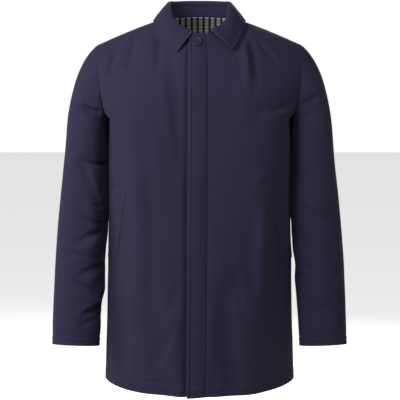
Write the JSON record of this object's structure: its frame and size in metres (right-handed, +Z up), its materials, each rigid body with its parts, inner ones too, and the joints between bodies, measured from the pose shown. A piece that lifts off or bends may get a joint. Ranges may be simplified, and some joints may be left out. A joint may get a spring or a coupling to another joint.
{
  "type": "raincoat",
  "caption": "Navy single-breasted raincoat with a covered front, turned-down collar, set-in sleeves and slanted welt pockets, filled out as if worn.",
  "frame": {"origin": "between the shoulders at the base of the neck, on the wearer's midline, where the coat is held up when it is put on", "axes": "+Z up along the wearer's body, -Y to the front, +X to the wearer's left"},
  "size_m": [0.661, 0.3115, 0.8518],
  "materials": {
    "navy_cloth": "matt woven cotton",
    "check_lining": "soft brushed check",
    "button": "satin"
  },
  "bodies": {
    "root": {"back": "navy_cloth", "back_lining": "check_lining", "collar": "navy_cloth", "collar_stand": "navy_cloth", "front_left": "navy_cloth", "front_right": "navy_cloth", "neck_button": "button", "pocket_welt_left": "navy_cloth", "pocket_welt_right": "navy_cloth", "sleeve_left": "navy_cloth", "sleeve_right": "navy_cloth"}
  },
  "joints": []
}
